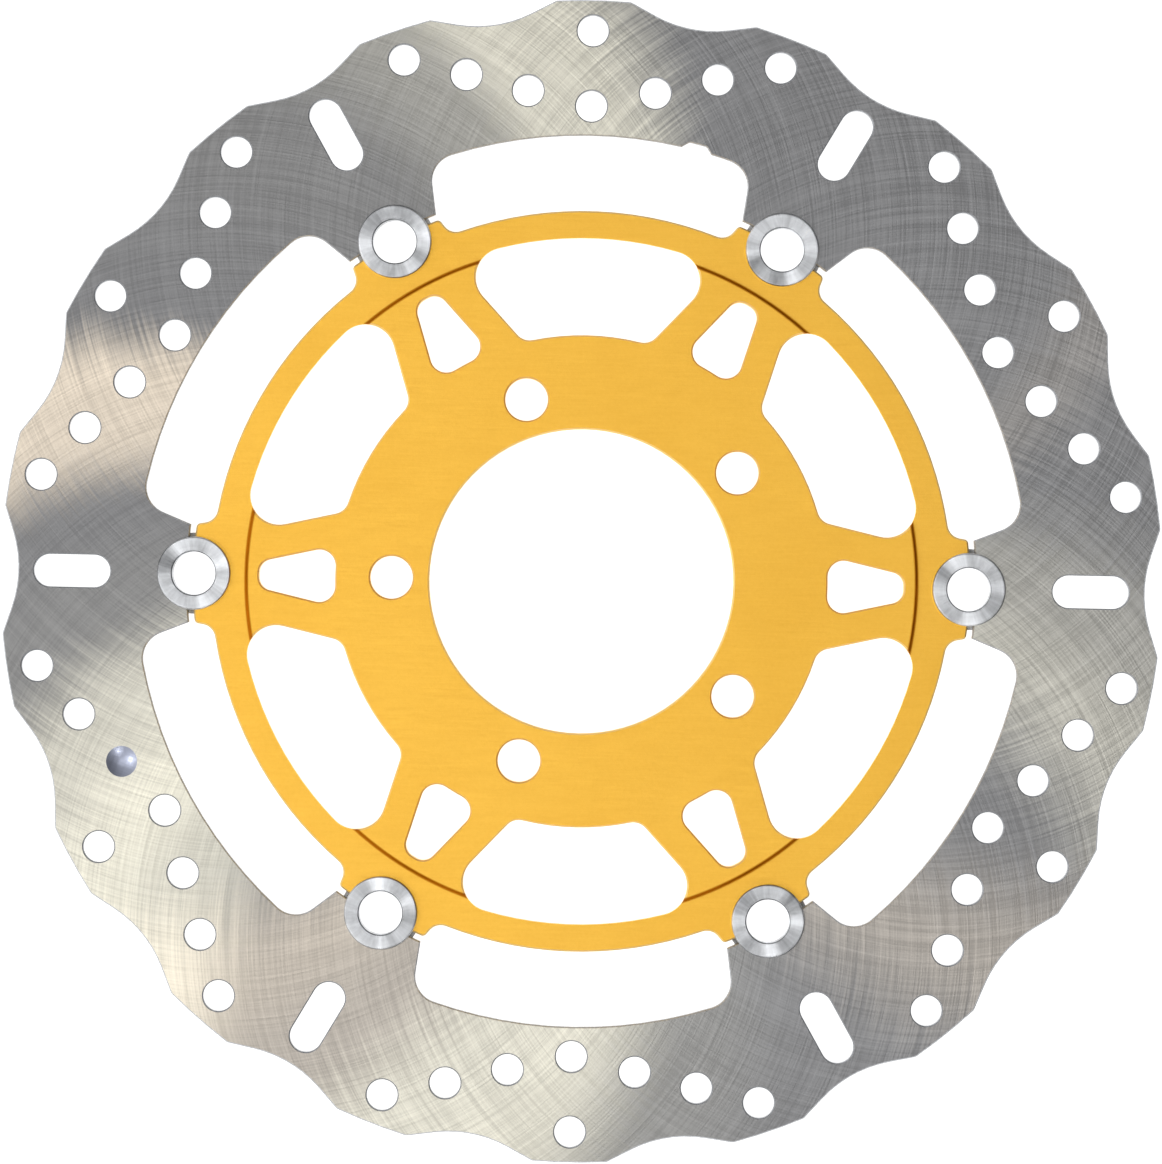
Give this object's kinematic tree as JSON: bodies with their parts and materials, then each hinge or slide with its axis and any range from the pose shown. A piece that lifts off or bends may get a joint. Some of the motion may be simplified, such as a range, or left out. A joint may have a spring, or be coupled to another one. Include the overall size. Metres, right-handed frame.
{
  "type": "brake disc rotor",
  "caption": "Semi-floating motorcycle brake disc: petal-edged drilled steel ring carried on spinning bobbins by a gold aluminium carrier that bolts to the wheel hub.",
  "frame": {"origin": "on the disc's axis, at the carrier's back face, which seats on the wheel hub", "axes": "+Z along the axis of rotation, out of the front face that shows on the motorcycle; +X through the centre of bobbin 1; the disc lies flat"},
  "size_m": [0.2982, 0.3, 0.0105],
  "materials": {
    "friction_ring_steel": "ground stainless steel with crossed grinding arcs",
    "carrier_gold": "satin gold anodised",
    "bobbin_steel": "bright turned stainless steel",
    "washer_steel": "rolled stainless steel",
    "spring_steel": "spring steel strip",
    "circlip_steel": "phosphated spring steel"
  },
  "bodies": {
    "carrier": {"carrier": "carrier_gold"},
    "friction_ring": {"friction_ring": "friction_ring_steel", "flat_washer_1": "washer_steel", "flat_washer_2": "washer_steel", "flat_washer_3": "washer_steel", "flat_washer_4": "washer_steel", "flat_washer_5": "washer_steel", "flat_washer_6": "washer_steel"},
    "bobbin_1": {"bobbin_1": "bobbin_steel", "wave_washer_1": "spring_steel", "circlip_1": "circlip_steel"},
    "bobbin_2": {"bobbin_2": "bobbin_steel", "wave_washer_2": "spring_steel", "circlip_2": "circlip_steel"},
    "bobbin_3": {"bobbin_3": "bobbin_steel", "wave_washer_3": "spring_steel", "circlip_3": "circlip_steel"},
    "bobbin_4": {"bobbin_4": "bobbin_steel", "wave_washer_4": "spring_steel", "circlip_4": "circlip_steel"},
    "bobbin_5": {"bobbin_5": "bobbin_steel", "wave_washer_5": "spring_steel", "circlip_5": "circlip_steel"},
    "bobbin_6": {"bobbin_6": "bobbin_steel", "wave_washer_6": "spring_steel", "circlip_6": "circlip_steel"}
  },
  "joints": [
    {"name": "ring_float", "type": "slide", "parent": "carrier", "child": "friction_ring", "axis": [0, 0, 1], "range_m": [-0.0003, 0], "stiffness_N_per_m": 60000, "springref_m": 0.0005, "deforming": ["wave_washer_1", "wave_washer_2", "wave_washer_3", "wave_washer_4", "wave_washer_5", "wave_washer_6"]},
    {"name": "bobbin_1_spin", "type": "hinge", "parent": "carrier", "child": "bobbin_1", "pos_m": [0.1, 0, 0.004], "axis": [0, 0, 1], "continuous": true},
    {"name": "bobbin_2_spin", "type": "hinge", "parent": "carrier", "child": "bobbin_2", "pos_m": [0.05, 0.0866, 0.004], "axis": [0, 0, 1], "continuous": true},
    {"name": "bobbin_3_spin", "type": "hinge", "parent": "carrier", "child": "bobbin_3", "pos_m": [-0.05, 0.0866, 0.004], "axis": [0, 0, 1], "continuous": true},
    {"name": "bobbin_4_spin", "type": "hinge", "parent": "carrier", "child": "bobbin_4", "pos_m": [-0.1, 0, 0.004], "axis": [0, 0, 1], "continuous": true},
    {"name": "bobbin_5_spin", "type": "hinge", "parent": "carrier", "child": "bobbin_5", "pos_m": [-0.05, -0.0866, 0.004], "axis": [0, 0, 1], "continuous": true},
    {"name": "bobbin_6_spin", "type": "hinge", "parent": "carrier", "child": "bobbin_6", "pos_m": [0.05, -0.0866, 0.004], "axis": [0, 0, 1], "continuous": true}
  ]
}
